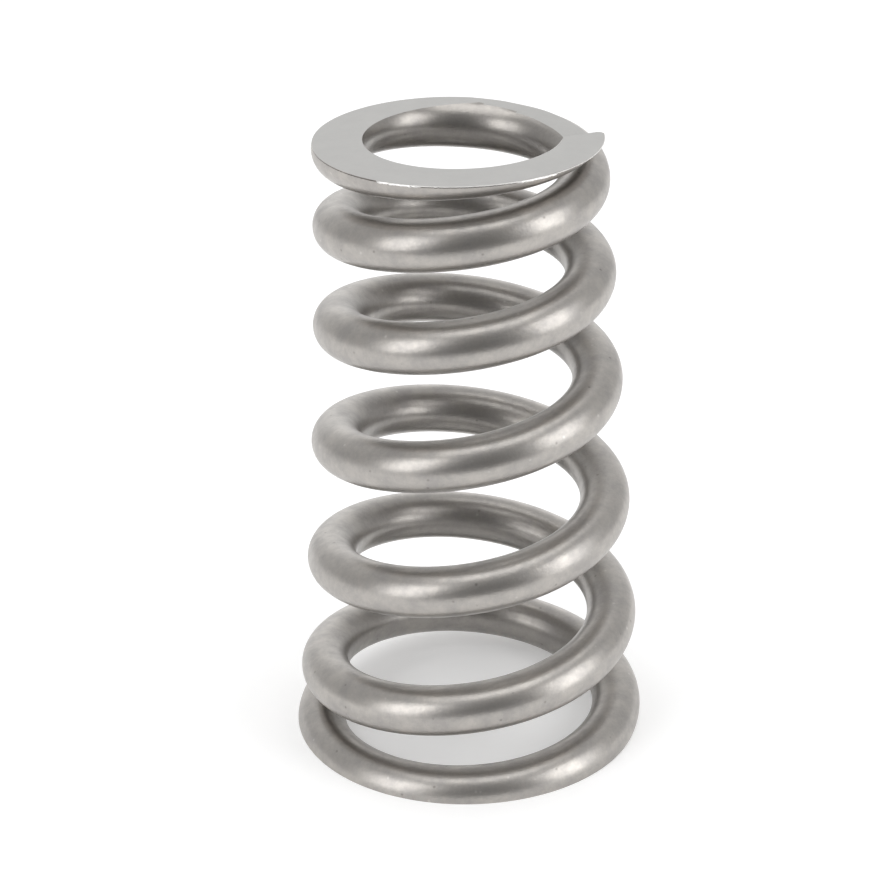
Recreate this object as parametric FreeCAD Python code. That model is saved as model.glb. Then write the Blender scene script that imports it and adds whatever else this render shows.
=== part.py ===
import FreeCAD, Part
import math
import os
from FreeCAD import Vector

# Conical compression spring, coiled right-handed from one round wire, with both ends closed and ground.
# Sizes are in millimetres and angles in degrees. Z runs up the axis of the spring, and the ground foot
# lies on Z = 0. The wire follows a cone that coiling has left a little out of true: its side is slightly
# hollow, the coils at mid-height stand slightly to the +X side of the axis, and the head's tip has sprung
# outwards from its coil.

# Sizes that a drawing of the spring gives
WIRE_DIAMETER = 4.5
FOOT_OUTER_DIAMETER = 32.5
HEAD_OUTER_DIAMETER = 25.2
FREE_LENGTH = 56.9
TOTAL_TURNS = 6.573

# What grinding leaves of the wire at its two tips
FOOT_TIP_THICKNESS = 2.2
HEAD_TIP_THICKNESS = 0.77

# The daylight between each tip and the coil next to it
FOOT_TIP_GAP = 0.55
HEAD_TIP_GAP = 0.52

# Where the foot's tip lies round the axis, from X towards Y
FOOT_TIP_ANGLE = 160.0

# How far from square the head's tip is cut off, which leaves the outer side of the wire the longer
HEAD_CUT_SLANT = 16.0

# How far the coils at mid-height are from a true cone
SIDE_HOLLOW = 0.26
SIDEWAYS_LEAN = 0.42

# How far the head's tip has sprung outwards, and over how many turns
HEAD_TIP_SPREAD = 0.42
HEAD_SPREAD_TURNS = 0.25

# How the wire climbs. Each end coil gives the share of its climb that is reached half a turn along it.
# The open coils between them give the shares reached at equal steps: their pitch is wide from the foot
# up to the middle of the spring, and it narrows towards the head.
FOOT_COIL_HALFWAY = 0.182
HEAD_COIL_HALFWAY = 0.592
OPEN_COIL_SHARES = (0.213, 0.434, 0.656, 0.841)

# How closely the centre line keeps to those laws, and into how many lengths it is divided, so that no
# face of the wire's surface runs much further than half a turn
POINTS_PER_TURN = 48
CENTRE_LINE_TOLERANCE = 0.001
CENTRE_LINE_LENGTHS = 14

# Sizes worked out from those above
wire_radius = WIRE_DIAMETER / 2
foot_mean_radius = (FOOT_OUTER_DIAMETER - WIRE_DIAMETER) / 2
head_mean_radius = (HEAD_OUTER_DIAMETER - WIRE_DIAMETER) / 2
foot_tip_height = FOOT_TIP_THICKNESS - wire_radius
head_tip_height = FREE_LENGTH - HEAD_TIP_THICKNESS + wire_radius
foot_coil_climb = WIRE_DIAMETER + FOOT_TIP_GAP
head_coil_climb = WIRE_DIAMETER + HEAD_TIP_GAP


def climb_stations():
    """Pairs of turns from the foot's tip and the height of the wire's centre there."""
    open_start = foot_tip_height + foot_coil_climb
    open_end = head_tip_height - head_coil_climb
    open_rise = open_end - open_start
    open_turns = TOTAL_TURNS - 2
    step = open_turns / (len(OPEN_COIL_SHARES) + 1)

    stations = [(0, foot_tip_height)]
    stations.append((0.5, foot_tip_height + FOOT_COIL_HALFWAY * foot_coil_climb))
    stations.append((1, open_start))
    for number, share in enumerate(OPEN_COIL_SHARES, start=1):
        stations.append((1 + number * step, open_start + share * open_rise))
    stations.append((TOTAL_TURNS - 1, open_end))
    stations.append((TOTAL_TURNS - 0.5, open_end + HEAD_COIL_HALFWAY * head_coil_climb))
    stations.append((TOTAL_TURNS, head_tip_height))
    return stations


def wire_centre(turns, height):
    """The centre of the wire at a number of turns from the foot's tip, where it has reached a height."""
    share_up = (height - foot_tip_height) / (head_tip_height - foot_tip_height)
    # This is 0 at both ends of the wire and 1 at mid-height
    out_of_true = 4 * share_up * (1 - share_up)
    true_radius = foot_mean_radius + share_up * (head_mean_radius - foot_mean_radius)
    # This is 0 up to where the head's tip starts to spread, and 1 at the tip
    spread_share = max(0, 1 - (TOTAL_TURNS - turns) / HEAD_SPREAD_TURNS)
    radius = true_radius - SIDE_HOLLOW * out_of_true + HEAD_TIP_SPREAD * spread_share**2
    angle = math.radians(FOOT_TIP_ANGLE) + turns * 2 * math.pi
    x = radius * math.cos(angle) + SIDEWAYS_LEAN * out_of_true
    y = radius * math.sin(angle)
    return Vector(x, y, height)


def wire_centre_line():
    """The wire's centre line: one smooth curve in equal lengths, whose pitch varies smoothly."""
    stations = climb_stations()
    climb = Part.BSplineCurve()
    climb.interpolate(
        Points=[Vector(turns, height) for turns, height in stations],
        Parameters=[turns for turns, height in stations],
    )

    steps = math.ceil(TOTAL_TURNS * POINTS_PER_TURN)
    points = []
    for number in range(steps + 1):
        turns = TOTAL_TURNS * number / steps
        points.append(wire_centre(turns, climb.value(turns).y))
    curve = Part.BSplineCurve()
    curve.approximate(Points=points, DegMax=8, Tolerance=CENTRE_LINE_TOLERANCE, Continuity="C2")

    first = curve.FirstParameter
    span = (curve.LastParameter - first) / CENTRE_LINE_LENGTHS
    lengths = []
    for number in range(CENTRE_LINE_LENGTHS):
        lengths.append(curve.toShape(first + number * span, first + (number + 1) * span))
    return Part.Wire(lengths)


def coiled_wire(centre_line):
    """The round wire swept along its centre line, cut off square at both tips."""
    first_length = centre_line.Edges[0]
    start = first_length.valueAt(first_length.FirstParameter)
    direction = first_length.tangentAt(first_length.FirstParameter)
    section = Part.Wire([Part.Circle(start, direction, wire_radius).toShape()])
    make_solid = True
    follow_curve = True
    return centre_line.makePipeShell([section], make_solid, follow_curve)


def slanting_cutter():
    """A block whose long side is the slanting cut at the head's tip."""
    reach_inwards = 2 * WIRE_DIAMETER
    reach_onwards = wire_radius
    # The block stops halfway to the coil below the tip
    reach_down = wire_radius + HEAD_TIP_GAP / 2
    outer_side = Vector(wire_radius, 0, 0)
    upwards = Vector(0, 0, 1)
    corner = outer_side - Vector(reach_inwards, 0, reach_down)
    block = Part.makeBox(reach_inwards, reach_onwards, 2 * reach_down, corner)
    block.rotate(outer_side, upwards, HEAD_CUT_SLANT)
    block.rotate(Vector(0, 0, 0), upwards, FOOT_TIP_ANGLE + TOTAL_TURNS * 360)
    block.translate(wire_centre(TOTAL_TURNS, head_tip_height))
    return block


def ground_spring(wire):
    """The coiled wire with its end coils ground flat, square to the axis and the free length apart."""
    grinding_reach = max(FOOT_OUTER_DIAMETER, HEAD_OUTER_DIAMETER)
    between_wheels = Part.makeCylinder(grinding_reach, FREE_LENGTH)
    return wire.common(between_wheels).Solids[0]


centre_line = wire_centre_line()
ground = ground_spring(coiled_wire(centre_line))
spring = ground.cut(slanting_cutter()).Solids[0]

os.makedirs("parts", exist_ok=True)
spring.exportStep("parts/conical_spring.step")

print("wire length", round(centre_line.Length, 1))
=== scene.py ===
import math

import bpy
import numpy
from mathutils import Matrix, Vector, noise


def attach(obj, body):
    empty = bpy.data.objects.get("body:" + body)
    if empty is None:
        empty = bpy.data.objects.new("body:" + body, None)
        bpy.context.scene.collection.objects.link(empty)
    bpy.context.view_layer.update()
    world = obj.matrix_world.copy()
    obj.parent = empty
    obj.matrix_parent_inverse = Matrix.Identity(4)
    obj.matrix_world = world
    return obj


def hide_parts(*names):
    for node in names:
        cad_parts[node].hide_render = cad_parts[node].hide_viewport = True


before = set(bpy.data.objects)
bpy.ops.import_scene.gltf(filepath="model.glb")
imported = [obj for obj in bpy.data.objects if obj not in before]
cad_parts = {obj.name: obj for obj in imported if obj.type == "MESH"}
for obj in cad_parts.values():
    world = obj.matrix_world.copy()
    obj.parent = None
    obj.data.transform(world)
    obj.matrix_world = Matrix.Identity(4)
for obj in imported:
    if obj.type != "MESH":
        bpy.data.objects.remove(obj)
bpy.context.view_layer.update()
bpy.ops.object.select_all(action="DESELECT")
scene = bpy.context.scene

# The spring is one round steel wire, 4.5 mm thick, coiled right-handed round a tapered mandrel.
# Its end coils are closed, so each lies almost on the next one, and the open coils vary in pitch.
# Coiling leaves the cone's side slightly hollow and its middle coils slightly to the right.
MM = 0.001
wire_radius = 2.25 * MM
foot_mean_radius = 14.0 * MM
head_mean_radius = 10.35 * MM
free_length = 56.9 * MM
total_turns = 6.573
foot_tip_thickness = 2.2 * MM
head_tip_thickness = 0.77 * MM
foot_coil_climb = 5.05 * MM
head_coil_climb = 5.02 * MM
foot_tip_angle = math.radians(160.0)
side_hollow = 0.26 * MM
sideways_lean = 0.42 * MM
head_tip_spread = 0.42 * MM
head_spread_turns = 0.25
foot_coil_halfway = 0.182
head_coil_halfway = 0.592
open_coil_shares = (0.213, 0.434, 0.656, 0.841)

# The wire climbs early where it comes out from behind the head's tip. These are how far at most,
# how many turns before the tip that is, and the turns it takes to rise to that and to fall again.
early_climb_height = 0.26 * MM
early_climb_peak = 0.965
early_climb_rise = 0.085
early_climb_fall = 0.22

foot_tip_height = foot_tip_thickness - wire_radius
head_tip_height = free_length - head_tip_thickness + wire_radius
open_start = foot_tip_height + foot_coil_climb
open_end = head_tip_height - head_coil_climb
open_step = (total_turns - 2) / (len(open_coil_shares) + 1)

# The turns from the foot's tip at which the height of the wire is known, and those heights
known_turns = [0, 0.5, 1]
known_heights = [
    foot_tip_height,
    foot_tip_height + foot_coil_halfway * foot_coil_climb,
    open_start,
]
for number, share in enumerate(open_coil_shares, start=1):
    known_turns.append(1 + number * open_step)
    known_heights.append(open_start + share * (open_end - open_start))
known_turns += [total_turns - 1, total_turns - 0.5, total_turns]
known_heights += [open_end, open_end + head_coil_halfway * head_coil_climb, head_tip_height]


def pitch_at_end(turns, heights):
    """The pitch at the first of four known places, on the cubic curve through them."""
    cubic = numpy.polyfit(turns, heights, 3)
    return numpy.polyval(numpy.polyder(cubic), turns[0])


def pitches_for_smooth_climb():
    """The pitch at each known place that makes the wire climb smoothly through all of them."""
    count = len(known_turns)
    spans = numpy.diff(known_turns)
    rises = numpy.diff(known_heights)
    conditions = numpy.zeros((count, count))
    results = numpy.zeros(count)
    conditions[0, 0] = 1
    results[0] = pitch_at_end(known_turns[:4], known_heights[:4])
    for place in range(1, count - 1):
        before = spans[place - 1]
        after = spans[place]
        conditions[place, place - 1] = 1 / before
        conditions[place, place] = 2 / before + 2 / after
        conditions[place, place + 1] = 1 / after
        results[place] = 3 * (rises[place - 1] / before**2 + rises[place] / after**2)
    conditions[-1, -1] = 1
    results[-1] = pitch_at_end(known_turns[:-5:-1], known_heights[:-5:-1])
    return numpy.linalg.solve(conditions, results)


pitches = pitches_for_smooth_climb()


def height_at(turns):
    """The height of the wire's centre on its even climb, some turns from the foot's tip."""
    place = 0
    while place < len(known_turns) - 2 and turns > known_turns[place + 1]:
        place += 1
    span = known_turns[place + 1] - known_turns[place]
    share = (turns - known_turns[place]) / span
    start_weight = (1 + 2 * share) * (1 - share) ** 2
    end_weight = share**2 * (3 - 2 * share)
    start_pull = span * share * (1 - share) ** 2 * pitches[place]
    end_pull = span * share**2 * (1 - share) * pitches[place + 1]
    height = start_weight * known_heights[place] + end_weight * known_heights[place + 1]
    return height + start_pull - end_pull


def early_climb(turns):
    """How far the wire stands above its even climb, some turns from the foot's tip."""
    past_peak = turns - (total_turns - early_climb_peak)
    reach = early_climb_rise if past_peak < 0 else early_climb_fall
    return early_climb_height * max(0, 1 - (past_peak / reach) ** 2) ** 2


def wire_centre(turns):
    """The centre of the wire, some turns from the foot's tip."""
    height = height_at(turns) + early_climb(turns)
    share_up = (height - foot_tip_height) / (head_tip_height - foot_tip_height)
    # This is 0 at both ends of the wire and 1 at mid-height
    out_of_true = 4 * share_up * (1 - share_up)
    radius = foot_mean_radius + share_up * (head_mean_radius - foot_mean_radius)
    radius -= side_hollow * out_of_true
    # This is 0 up to where the head's tip starts to spread, and 1 at the tip
    spread_share = max(0, 1 - (total_turns - turns) / head_spread_turns)
    radius += head_tip_spread * spread_share**2
    angle = foot_tip_angle + turns * 2 * math.pi
    x = radius * math.cos(angle) + sideways_lean * out_of_true
    return Vector((x, radius * math.sin(angle), height))


rings = 1120
wall_steps = 22
# The mesh is thinner than the solid by this much, which keeps it inside the solid's box
wire_clearance = 0.003 * MM
merging_distance = 0.001 * MM

bpy.ops.curve.primitive_nurbs_path_add(enter_editmode=False)
coil = bpy.context.object
coil.name = "spring_wire"
centre_line = coil.data
centre_line.splines.clear()
winding = centre_line.splines.new("POLY")
winding.points.add(rings)
for number, point in enumerate(winding.points):
    point.co = (*wire_centre(total_turns * number / rings), 1)
centre_line.dimensions = "3D"
centre_line.twist_mode = "Z_UP"
centre_line.bevel_depth = wire_radius - wire_clearance
centre_line.bevel_resolution = wall_steps
centre_line.use_fill_caps = True
bpy.ops.object.convert(target="MESH")

bpy.ops.object.mode_set(mode="EDIT")
bpy.ops.mesh.select_mode(type="FACE")
bpy.ops.mesh.select_all(action="SELECT")
bpy.ops.mesh.remove_doubles(threshold=merging_distance)
bpy.ops.mesh.normals_make_consistent(inside=False)
bpy.ops.object.mode_set(mode="OBJECT")

# The shears leave the head's tip slanting, with the outer side of the wire the longer, and its
# corner is worn round. Each cut takes only the end of the wire and spares the coil below it.
cut_slant = math.radians(16.0)
cut_allowance = 0.01 * MM
corner_rounding = 0.6 * MM
corner_cuts = 7
tip = wire_centre(total_turns)
tip_bearing = foot_tip_angle + total_turns * 2 * math.pi
outwards = Vector((math.cos(tip_bearing), math.sin(tip_bearing), 0))
onwards = Vector((-math.sin(tip_bearing), math.cos(tip_bearing), 0))
longest_corner = tip + wire_radius * outwards
ground_half_width = math.sqrt(wire_radius**2 - (tip.z - free_length) ** 2)
rounding_inwards = wire_radius - ground_half_width + corner_rounding
rounding_back = (corner_rounding + rounding_inwards * math.sin(cut_slant)) / math.cos(cut_slant)
rounding_centre = longest_corner - rounding_inwards * outwards - rounding_back * onwards

# How far from the tip's centre the faces lie that a cut may take
cut_reach = 4.5 * MM
cut_reach_onwards = 0.1 * MM
cut_reach_down = 2.5 * MM


def cut_tip(place, direction):
    """Cut the end of the wire off at a place, square to a direction."""
    bpy.ops.object.mode_set(mode="EDIT")
    bpy.ops.mesh.select_all(action="DESELECT")
    bpy.ops.object.mode_set(mode="OBJECT")
    for face in coil.data.polygons:
        offset = face.center - tip
        on_end = offset.length < cut_reach and offset.dot(onwards) < cut_reach_onwards
        face.select = on_end and offset.z > -cut_reach_down
    bpy.ops.object.mode_set(mode="EDIT")
    bpy.ops.mesh.bisect(
        plane_co=place,
        plane_no=direction,
        use_fill=True,
        clear_outer=True,
        threshold=0,
    )
    bpy.ops.object.mode_set(mode="OBJECT")


cut_direction = onwards * math.cos(cut_slant) - outwards * math.sin(cut_slant)
cut_tip(longest_corner - cut_allowance * cut_direction, cut_direction)
for number in range(1, corner_cuts):
    turned = (math.pi / 2 + cut_slant) * number / corner_cuts
    direction = outwards * math.cos(turned) + onwards * math.sin(turned)
    cut_tip(rounding_centre + corner_rounding * direction, direction)

# The wheel has also brushed the top of the wire behind the tip, where it climbs up to the ground
# face. The bearings run from under the tip to a little past where the ground face starts.
brushed_bearings = [math.radians(-8), math.radians(4), math.radians(39), math.radians(94)]
brushed_depths = [0, 0.37 * MM, 0.37 * MM, 0]
head_coil_reach_down = 3 * MM
tip_reach_down = 0.95 * MM
tip_edge = tip_bearing % (2 * math.pi)
for vertex in coil.data.vertices:
    bearing = math.atan2(vertex.co.y, vertex.co.x)
    on_tip = bearing < tip_edge and vertex.co.z > free_length - tip_reach_down
    behind_tip = brushed_bearings[0] < bearing < brushed_bearings[-1] and not on_tip
    if behind_tip and vertex.co.z > free_length - head_coil_reach_down:
        centre = wire_centre(total_turns - 1 + (bearing - tip_edge) / (2 * math.pi))
        depth = numpy.interp(bearing, brushed_bearings, brushed_depths)
        vertex.co.z = min(vertex.co.z, centre.z + wire_radius - depth)

# Grinding takes both end coils down to flat faces, square to the axis and the free length apart.
bpy.ops.object.mode_set(mode="EDIT")
for height, upwards in ((0, -1), (free_length, 1)):
    bpy.ops.mesh.select_all(action="SELECT")
    bpy.ops.mesh.bisect(
        plane_co=(0, 0, height),
        plane_no=(0, 0, upwards),
        use_fill=True,
        clear_outer=True,
        threshold=0,
    )
bpy.ops.object.mode_set(mode="OBJECT")
coil.location = (0, 0, 0)
sharpest_smooth_bend = math.radians(35)
bpy.ops.object.shade_smooth_by_angle(angle=sharpest_smooth_bend)

bead_points_per_turn = 900
bead_wall_steps = 2
# How far a bead hangs over the edge, and how much its thickness varies, in shares of its radius
bead_overhang = 0.2
raggedness = 0.6
rags_per_turn = 330


def bead_on_edge(name, side, places, thicknesses, sinking):
    """A ragged bead along an edge of the head's ground face. Side is 1 outside and -1 inside.

    Places are turns before the tip. The thickness at each and the sinking are in millimetres.
    """
    bpy.ops.curve.primitive_nurbs_path_add(enter_editmode=False)
    bead = bpy.context.object
    bead.name = name
    line = bead.data
    line.splines.clear()
    run = line.splines.new("POLY")
    count = round((places[0] - places[-1]) * bead_points_per_turn)
    run.points.add(count)
    for number, point in enumerate(run.points):
        before_tip = places[0] + (places[-1] - places[0]) * number / count
        centre = wire_centre(total_turns - before_tip)
        half_width = math.sqrt(wire_radius**2 - (centre.z - free_length) ** 2)
        bearing = foot_tip_angle + (total_turns - before_tip) * 2 * math.pi
        away = side * Vector((math.cos(bearing), math.sin(bearing), 0))
        size = numpy.interp(-before_tip, [-place for place in places], thicknesses) * MM / 2
        size *= 1 + raggedness * noise.noise(Vector((before_tip * rags_per_turn, 0, side)))
        edge = centre + away * (half_width + bead_overhang * size)
        point.co = (edge.x, edge.y, free_length - size - sinking * MM, 1)
        point.radius = size / MM
    line.dimensions = "3D"
    line.bevel_depth = MM
    line.bevel_resolution = bead_wall_steps
    line.use_fill_caps = True
    bpy.ops.object.convert(target="MESH")
    bead.location = (0, 0, 0)
    bpy.ops.object.shade_smooth()
    return bead


# Grinding has pushed a ragged burr over the front of the head's outer edge, heaviest at two
# places. Under it runs a thin dark bead, painted shade of the crevice beneath the burr, which runs
# on alone where the burr has broken off.
burr = bead_on_edge(
    "burr",
    side=1,
    places=[0.355, 0.353, 0.309, 0.304, 0.206, 0.199, 0.156, 0.153, 0.02, 0.004],
    thicknesses=[0.02, 0.2, 0.18, 0.09, 0.10, 0.18, 0.2, 0.09, 0.08, 0.02],
    sinking=0.001,
)
# A thin dark bead that stands in for the shade in the crevice under the burr: painted shade
under_burr_shade = bead_on_edge(
    "under_burr_shade",
    side=1,
    places=[0.50, 0.46, 0.358, 0.35, 0.309, 0.304, 0.206, 0.194],
    thicknesses=[0.005, 0.03, 0.065, 0.01, 0.01, 0.09, 0.09, 0.01],
    sinking=0.06,
)
inner_burr = bead_on_edge(
    "inner_burr",
    side=-1,
    places=[0.30, 0.26, 0.04, 0.03],
    thicknesses=[0.01, 0.06, 0.06, 0.02],
    sinking=0.001,
)


def node(tree, kind, **settings):
    """A new shader node, with some of its properties set."""
    made = tree.nodes.new(kind)
    for name, value in settings.items():
        setattr(made, name, value)
    return made


def calculated(tree, operation, first, second):
    """The result of a calculation on two values, each a node's output or a number."""
    made = node(tree, "ShaderNodeMath", operation=operation)
    for socket, value in zip(made.inputs, (first, second)):
        if isinstance(value, (int, float)):
            socket.default_value = value
        else:
            tree.links.new(value, socket)
    return made.outputs[0]


def mixed(tree, share, first, second):
    """A colour mixed from two by a share, each a node's output or a colour."""
    made = node(tree, "ShaderNodeMix", data_type="RGBA")
    tree.links.new(share, made.inputs[0])
    for socket, value in zip((made.inputs[6], made.inputs[7]), (first, second)):
        if isinstance(value, tuple):
            socket.default_value = value
        else:
            tree.links.new(value, socket)
    return made.outputs[2]


def stretched(tree, value, start, end):
    """A value stretched to be 0 at the start and 1 at the end, and no less or more outside them."""
    made = node(tree, "ShaderNodeMapRange")
    made.inputs["From Min"].default_value = start
    made.inputs["From Max"].default_value = end
    tree.links.new(value, made.inputs["Value"])
    return made.outputs["Result"]


# Wear and working marks that every surface of the steel has in its own measure: dents from the
# shot, longer ripples, streaks from drawing, uneven tone, sparse dark pits and bright specks.
# Besides these, the side towards the inside of the spring is painted darker, as painted shade.
ripple_size = 0.9 * MM
tone_patch_size = 2.4 * MM
pit_spacing = 1.0 * MM
pit_depth = 0.006 * MM
pit_colour = (0.12, 0.11, 0.10, 1)
pit_strength = 0.5
speck_colour = (0.80, 0.78, 0.75, 1)
speck_strength = 0.35
# The colour of the painted shade on the side towards the inside of the spring
painted_inner_shade_colour = (0.02, 0.018, 0.016, 1)
# How far from its middle a pit or speck starts, and is complete, in shares of the spacing
pit_edge = 0.18
pit_floor = 0.04
# The levels of the uneven tone at which the steel is clean, half stained and fully stained
clean_tone = 0.38
middle_tone = 0.5
stained_tone = 0.62

steel_marks = bpy.data.node_groups.new("steel_marks", "ShaderNodeTree")
links = steel_marks.links
for name, kind in (
    ("Position", "NodeSocketVector"),
    ("Along Wire", "NodeSocketVector"),
    ("Color", "NodeSocketColor"),
    ("Stain Color", "NodeSocketColor"),
    ("Roughness", "NodeSocketFloat"),
    ("Roughness Change", "NodeSocketFloat"),
    ("Dent Size", "NodeSocketFloat"),
    ("Dent Depth", "NodeSocketFloat"),
    ("Ripple Depth", "NodeSocketFloat"),
    ("Streak Depth", "NodeSocketFloat"),
    ("Pit Share", "NodeSocketFloat"),
    ("Inner Side", "NodeSocketFloat"),
    ("Inner Painted Shade", "NodeSocketFloat"),
):
    steel_marks.interface.new_socket(name, in_out="INPUT", socket_type=kind)
for name, kind in (
    ("Base Color", "NodeSocketColor"),
    ("Roughness", "NodeSocketFloat"),
    ("Height", "NodeSocketFloat"),
):
    steel_marks.interface.new_socket(name, in_out="OUTPUT", socket_type=kind)
given = node(steel_marks, "NodeGroupInput").outputs
result = node(steel_marks, "NodeGroupOutput").inputs

dents = node(steel_marks, "ShaderNodeTexVoronoi")
links.new(given["Position"], dents.inputs["Vector"])
links.new(calculated(steel_marks, "DIVIDE", 1, given["Dent Size"]), dents.inputs["Scale"])
ripples = node(steel_marks, "ShaderNodeTexNoise")
links.new(given["Position"], ripples.inputs["Vector"])
ripples.inputs["Scale"].default_value = 1 / ripple_size
ripples.inputs["Detail"].default_value = 2
streaks = node(steel_marks, "ShaderNodeTexNoise")
links.new(given["Along Wire"], streaks.inputs["Vector"])
streaks.inputs["Scale"].default_value = 1
streaks.inputs["Detail"].default_value = 3
tone = node(steel_marks, "ShaderNodeTexNoise")
links.new(given["Position"], tone.inputs["Vector"])
tone.inputs["Scale"].default_value = 1 / tone_patch_size
tone.inputs["Detail"].default_value = 6
tone.inputs["Roughness"].default_value = 0.8
pit_cells = node(steel_marks, "ShaderNodeTexVoronoi")
links.new(given["Position"], pit_cells.inputs["Vector"])
pit_cells.inputs["Scale"].default_value = 1 / pit_spacing
cell_numbers = node(steel_marks, "ShaderNodeSeparateXYZ")
links.new(pit_cells.outputs["Color"], cell_numbers.inputs[0])
near_cell = stretched(steel_marks, pit_cells.outputs["Distance"], pit_edge, pit_floor)
has_pit = calculated(steel_marks, "LESS_THAN", cell_numbers.outputs["X"], given["Pit Share"])
has_speck = calculated(steel_marks, "LESS_THAN", cell_numbers.outputs["Y"], given["Pit Share"])
pits = calculated(steel_marks, "MULTIPLY", near_cell, has_pit)
specks = calculated(steel_marks, "MULTIPLY", near_cell, has_speck)

dent_height = calculated(steel_marks, "MULTIPLY", dents.outputs["Distance"], given["Dent Depth"])
ripple_height = calculated(steel_marks, "MULTIPLY", ripples.outputs["Fac"], given["Ripple Depth"])
streak_height = calculated(steel_marks, "MULTIPLY", streaks.outputs["Fac"], given["Streak Depth"])
pit_height = calculated(steel_marks, "MULTIPLY", pits, -pit_depth)
long_height = calculated(steel_marks, "ADD", ripple_height, streak_height)
short_height = calculated(steel_marks, "ADD", dent_height, pit_height)
links.new(calculated(steel_marks, "ADD", long_height, short_height), result["Height"])

stain_cover = stretched(steel_marks, tone.outputs["Fac"], clean_tone, stained_tone)
pit_cover = calculated(steel_marks, "MULTIPLY", pits, pit_strength)
speck_cover = calculated(steel_marks, "MULTIPLY", specks, speck_strength)
# Painted shade: the side facing the inside of the spring is mixed towards a dark colour
painted_shade_cover = calculated(steel_marks, "MULTIPLY", given["Inner Side"], given["Inner Painted Shade"])
stained = mixed(steel_marks, stain_cover, given["Color"], given["Stain Color"])
pitted = mixed(steel_marks, pit_cover, stained, pit_colour)
specked = mixed(steel_marks, speck_cover, pitted, speck_colour)
with_painted_shade = mixed(steel_marks, painted_shade_cover, specked, painted_inner_shade_colour)
links.new(with_painted_shade, result["Base Color"])
uneven = calculated(steel_marks, "SUBTRACT", tone.outputs["Fac"], middle_tone)
change = calculated(steel_marks, "MULTIPLY", uneven, given["Roughness Change"])
links.new(calculated(steel_marks, "ADD", given["Roughness"], change), result["Roughness"])

# How many streaks lie end to end along the wire, and the radius of the circle that they are laid
# out on round it, in widths of a streak
streaks_along_wire = 90
streak_circle = 9
# How far inwards the wire's surface faces where the painted shade of the inner side starts and is
# complete
inner_shade_start = -0.1
inner_shade_full = 0.7


def steel(
    name,
    colour,
    stain,
    roughness,
    roughness_change,
    dent_size,
    dent_depth,
    ripple_depth,
    streak_depth,
    pit_share,
    inner_painted_shade,
):
    """A finish of the spring's steel, with its marks and painted shade on its inner side. Sizes and
    depths are in millimetres.
    """
    made = bpy.data.materials.new(name)
    made.use_nodes = True
    tree = made.node_tree
    shader = tree.nodes["Principled BSDF"]
    shader.inputs["Metallic"].default_value = 1
    place = node(tree, "ShaderNodeTexCoord")

    # The streaks run along the wire. The place round the wire is turned into a circle, so that
    # they have no seam
    on_wire = node(tree, "ShaderNodeSeparateXYZ")
    tree.links.new(place.outputs["UV"], on_wire.inputs[0])
    turn = calculated(tree, "MULTIPLY", on_wire.outputs["Y"], 2 * math.pi)
    inwards = calculated(tree, "COSINE", turn, 0)
    upwards = calculated(tree, "SINE", turn, 0)
    along = calculated(tree, "MULTIPLY", on_wire.outputs["X"], streaks_along_wire)
    circle = node(tree, "ShaderNodeCombineXYZ")
    tree.links.new(along, circle.inputs["X"])
    tree.links.new(calculated(tree, "MULTIPLY", inwards, streak_circle), circle.inputs["Y"])
    tree.links.new(calculated(tree, "MULTIPLY", upwards, streak_circle), circle.inputs["Z"])
    # The painted shade falls on the side of the wire that faces the inside of the spring
    inner_side = stretched(tree, inwards, inner_shade_start, inner_shade_full)

    marks = node(tree, "ShaderNodeGroup", node_tree=steel_marks)
    tree.links.new(place.outputs["Object"], marks.inputs["Position"])
    tree.links.new(circle.outputs["Vector"], marks.inputs["Along Wire"])
    tree.links.new(inner_side, marks.inputs["Inner Side"])
    marks.inputs["Color"].default_value = colour
    marks.inputs["Stain Color"].default_value = stain
    marks.inputs["Roughness"].default_value = roughness
    marks.inputs["Roughness Change"].default_value = roughness_change
    marks.inputs["Dent Size"].default_value = dent_size * MM
    marks.inputs["Dent Depth"].default_value = dent_depth * MM
    marks.inputs["Ripple Depth"].default_value = ripple_depth * MM
    marks.inputs["Streak Depth"].default_value = streak_depth * MM
    marks.inputs["Pit Share"].default_value = pit_share
    marks.inputs["Inner Painted Shade"].default_value = inner_painted_shade
    bump = node(tree, "ShaderNodeBump")
    bump.inputs["Distance"].default_value = 1
    tree.links.new(marks.outputs["Base Color"], shader.inputs["Base Color"])
    tree.links.new(marks.outputs["Roughness"], shader.inputs["Roughness"])
    tree.links.new(marks.outputs["Height"], bump.inputs["Height"])
    tree.links.new(bump.outputs["Normal"], shader.inputs["Normal"])
    return made


wire_steel = steel(
    "peened_wire_steel",
    colour=(0.468, 0.444, 0.416, 1),
    stain=(0.378, 0.361, 0.346, 1),
    roughness=0.355,
    roughness_change=0.25,
    dent_size=0.20,
    dent_depth=0.006,
    ripple_depth=0.006,
    streak_depth=0.003,
    pit_share=0.14,
    # How strongly the inner side is painted darker, as painted shade
    inner_painted_shade=0.22,
)
ground_steel = steel(
    "ground_face_steel",
    colour=(0.505, 0.500, 0.488, 1),
    stain=(0.490, 0.485, 0.475, 1),
    roughness=0.55,
    roughness_change=0.1,
    dent_size=0.12,
    dent_depth=0.001,
    ripple_depth=0.002,
    streak_depth=0.001,
    pit_share=0,
    inner_painted_shade=0,
)
edge_steel = steel(
    "burnished_edge_steel",
    colour=(0.86, 0.85, 0.83, 1),
    stain=(0.78, 0.77, 0.75, 1),
    roughness=0.30,
    roughness_change=0.3,
    dent_size=0.15,
    dent_depth=0.004,
    ripple_depth=0.004,
    streak_depth=0.002,
    pit_share=0,
    inner_painted_shade=0,
)
# The dark colour of the bead under the burr is painted shade
under_burr_shade_steel = steel(
    "painted_under_burr_shade",
    colour=(0.19, 0.175, 0.16, 1),
    stain=(0.13, 0.12, 0.11, 1),
    roughness=0.6,
    roughness_change=0.2,
    dent_size=0.15,
    dent_depth=0.002,
    ripple_depth=0.002,
    streak_depth=0.002,
    pit_share=0,
    inner_painted_shade=0,
)

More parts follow.
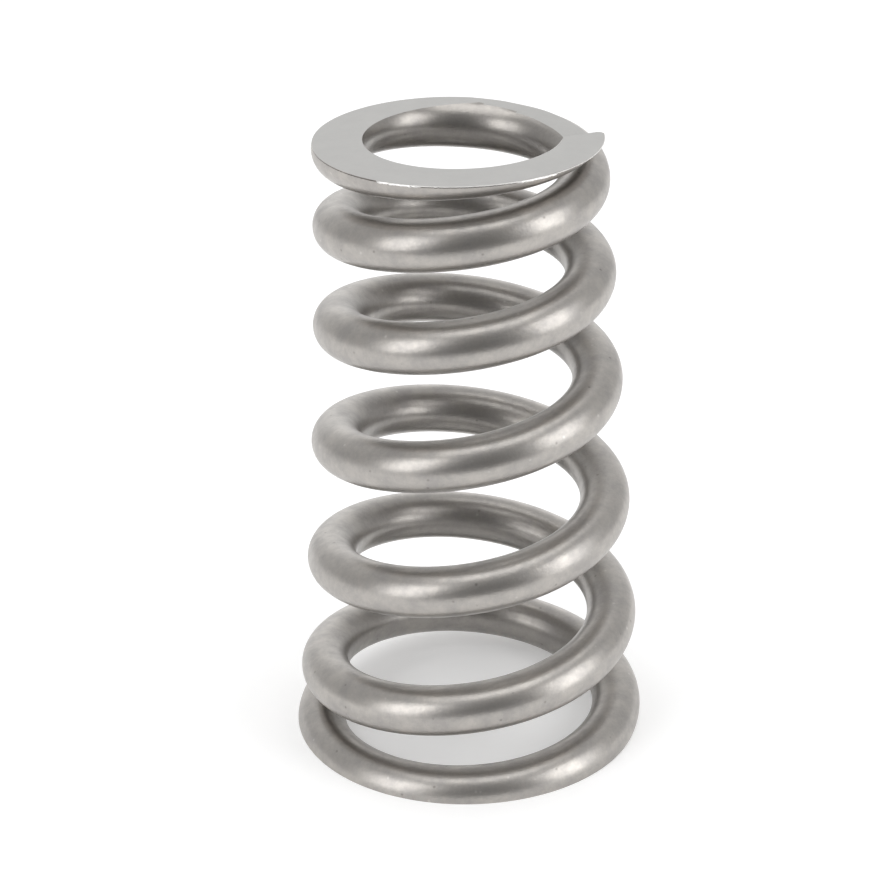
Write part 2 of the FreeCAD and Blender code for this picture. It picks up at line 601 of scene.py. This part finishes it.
# The ground faces, and the brushed top of the wire behind the head's tip, have the finer finish
# and sharp edges.
flat_tolerance = 0.001 * MM
brushed_reach_down = 2 * MM
brushed_facing_up = 0.976
coil.data.materials.clear()
coil.data.materials.append(wire_steel)
coil.data.materials.append(ground_steel)
ground_steel_place = coil.data.materials.find(ground_steel.name)
for face in coil.data.polygons:
    on_foot = face.center.z < flat_tolerance
    on_head = face.center.z > free_length - flat_tolerance
    bearing = math.atan2(face.center.y, face.center.x)
    behind_tip = brushed_bearings[0] < bearing < brushed_bearings[-1]
    near_top = face.center.z > free_length - brushed_reach_down
    brushed = behind_tip and near_top and face.normal.z > brushed_facing_up
    face.select = on_foot or on_head or brushed
    if face.select:
        face.material_index = ground_steel_place
bpy.ops.object.select_all(action="DESELECT")
coil.select_set(True)
bpy.context.view_layer.objects.active = coil
bpy.ops.object.mode_set(mode="EDIT")
bpy.ops.mesh.region_to_loop()
bpy.ops.mesh.mark_sharp()
bpy.ops.object.mode_set(mode="OBJECT")
burr.data.materials.append(edge_steel)
inner_burr.data.materials.append(edge_steel)
under_burr_shade.data.materials.append(under_burr_shade_steel)
bpy.ops.object.select_all(action="DESELECT")
for part in (burr, inner_burr, under_burr_shade, coil):
    part.select_set(True)
bpy.context.view_layer.objects.active = coil
bpy.ops.object.join()
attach(coil, "root")
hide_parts("conical_spring")


def grey(level):
    """A neutral colour of one level."""
    return (level, level, level, 1)


# The floor is a white studio table top that runs past everything the camera sees. It glows a
# little, to the camera and in what the steel mirrors, and lights nothing else.
floor_width = 8
floor_front = -0.13
floor_back = 4.0
floor_level = 0.85
floor_roughness = 0.9
floor_glow = 0.245
bpy.ops.mesh.primitive_plane_add(size=1, location=(0, (floor_front + floor_back) / 2, 0))
floor = bpy.context.object
floor.name = "floor"
floor.dimensions = (floor_width, floor_back - floor_front, 0)
bpy.ops.object.transform_apply(location=True, rotation=True, scale=True)
white_top = bpy.data.materials.new("white_table_top")
white_top.use_nodes = True
top_nodes = white_top.node_tree
shader = top_nodes.nodes["Principled BSDF"]
shader.inputs["Base Color"].default_value = grey(floor_level)
shader.inputs["Roughness"].default_value = floor_roughness
shader.inputs["Specular IOR Level"].default_value = 0
shader.inputs["Emission Strength"].default_value = 1
rays = node(top_nodes, "ShaderNodeLightPath").outputs
seen = calculated(top_nodes, "MAXIMUM", rays["Is Camera Ray"], rays["Is Glossy Ray"])
seen_or_through = calculated(top_nodes, "MAXIMUM", seen, rays["Is Transmission Ray"])
glow = mixed(top_nodes, seen_or_through, grey(0), grey(floor_glow))
top_nodes.links.new(glow, shader.inputs["Emission Color"])
floor.data.materials.append(white_top)

# Plain soft studio light: a room that is white behind the spring and dim on the camera's side,
# a wide softbox overhead, and a tall one on either side. The camera sees the room plain white.
front_level = 0.18
side_level = 0.50
side_place = 0.5
corner_level = 0.80
corner_place = 0.9
back_level = 1.45
world = bpy.data.worlds.new("studio")
scene.world = world
world.use_nodes = True
room = world.node_tree
facing = node(room, "ShaderNodeTexCoord")
facing_parts = node(room, "ShaderNodeSeparateXYZ")
room.links.new(facing.outputs["Generated"], facing_parts.inputs[0])
walls = node(room, "ShaderNodeValToRGB")
room.links.new(stretched(room, facing_parts.outputs["Y"], -1, 1), walls.inputs["Fac"])
walls.color_ramp.elements[0].color = grey(front_level)
walls.color_ramp.elements[1].color = grey(back_level)
walls.color_ramp.elements.new(side_place).color = grey(side_level)
walls.color_ramp.elements.new(corner_place).color = grey(corner_level)
camera_ray = node(room, "ShaderNodeLightPath").outputs["Is Camera Ray"]
room_colour = mixed(room, camera_ray, walls.outputs["Color"], grey(1))
room.links.new(room_colour, room.nodes["Background"].inputs["Color"])

spring_middle = Vector((0, 0, 0.03))


def softbox(name, bearing, elevation, distance, width, height, radiance):
    """An area lamp that faces the spring. Bearing 0 is behind the spring and 90 is to its right."""
    across = math.cos(math.radians(elevation)) * distance
    place = Vector((
        across * math.sin(math.radians(bearing)),
        across * math.cos(math.radians(bearing)),
        math.sin(math.radians(elevation)) * distance,
    ))
    bpy.ops.object.light_add(type="AREA", location=place)
    lamp = bpy.context.object
    lamp.name = name
    lamp.data.shape = "RECTANGLE"
    lamp.data.size = width
    lamp.data.size_y = height
    lamp.data.energy = radiance * math.pi * width * height
    lamp.rotation_euler = (spring_middle - place).to_track_quat("-Z", "Y").to_euler()


softbox(
    "left_softbox",
    bearing=-131,
    elevation=25.5,
    distance=0.8,
    width=0.42,
    height=0.68,
    radiance=2.55,
)
softbox(
    "right_softbox",
    bearing=114,
    elevation=23,
    distance=0.8,
    width=0.42,
    height=0.70,
    radiance=2.7,
)
softbox(
    "top_softbox",
    bearing=0,
    elevation=89.9,
    distance=0.9,
    width=0.78,
    height=0.78,
    radiance=1.68,
)

# The camera stands where the photograph was taken from, and its frame is the photograph's.
camera_place = (0.0034653, -0.2006233, 0.123154)
camera_yaw = math.radians(-1.6108)
camera_pitch = math.radians(25.2846)
camera_roll = math.radians(1.3303)
camera_turn = (math.pi / 2 - camera_pitch, 0, -camera_yaw)
bpy.ops.object.camera_add(location=camera_place, rotation=camera_turn)
camera = bpy.context.object
camera.rotation_euler.rotate_axis("Z", -camera_roll)
camera.data.lens = 100.484
camera.data.sensor_width = 36
camera.data.clip_start = 0.01
camera.data.clip_end = 20
scene.camera = camera

scene.view_settings.view_transform = "Standard"
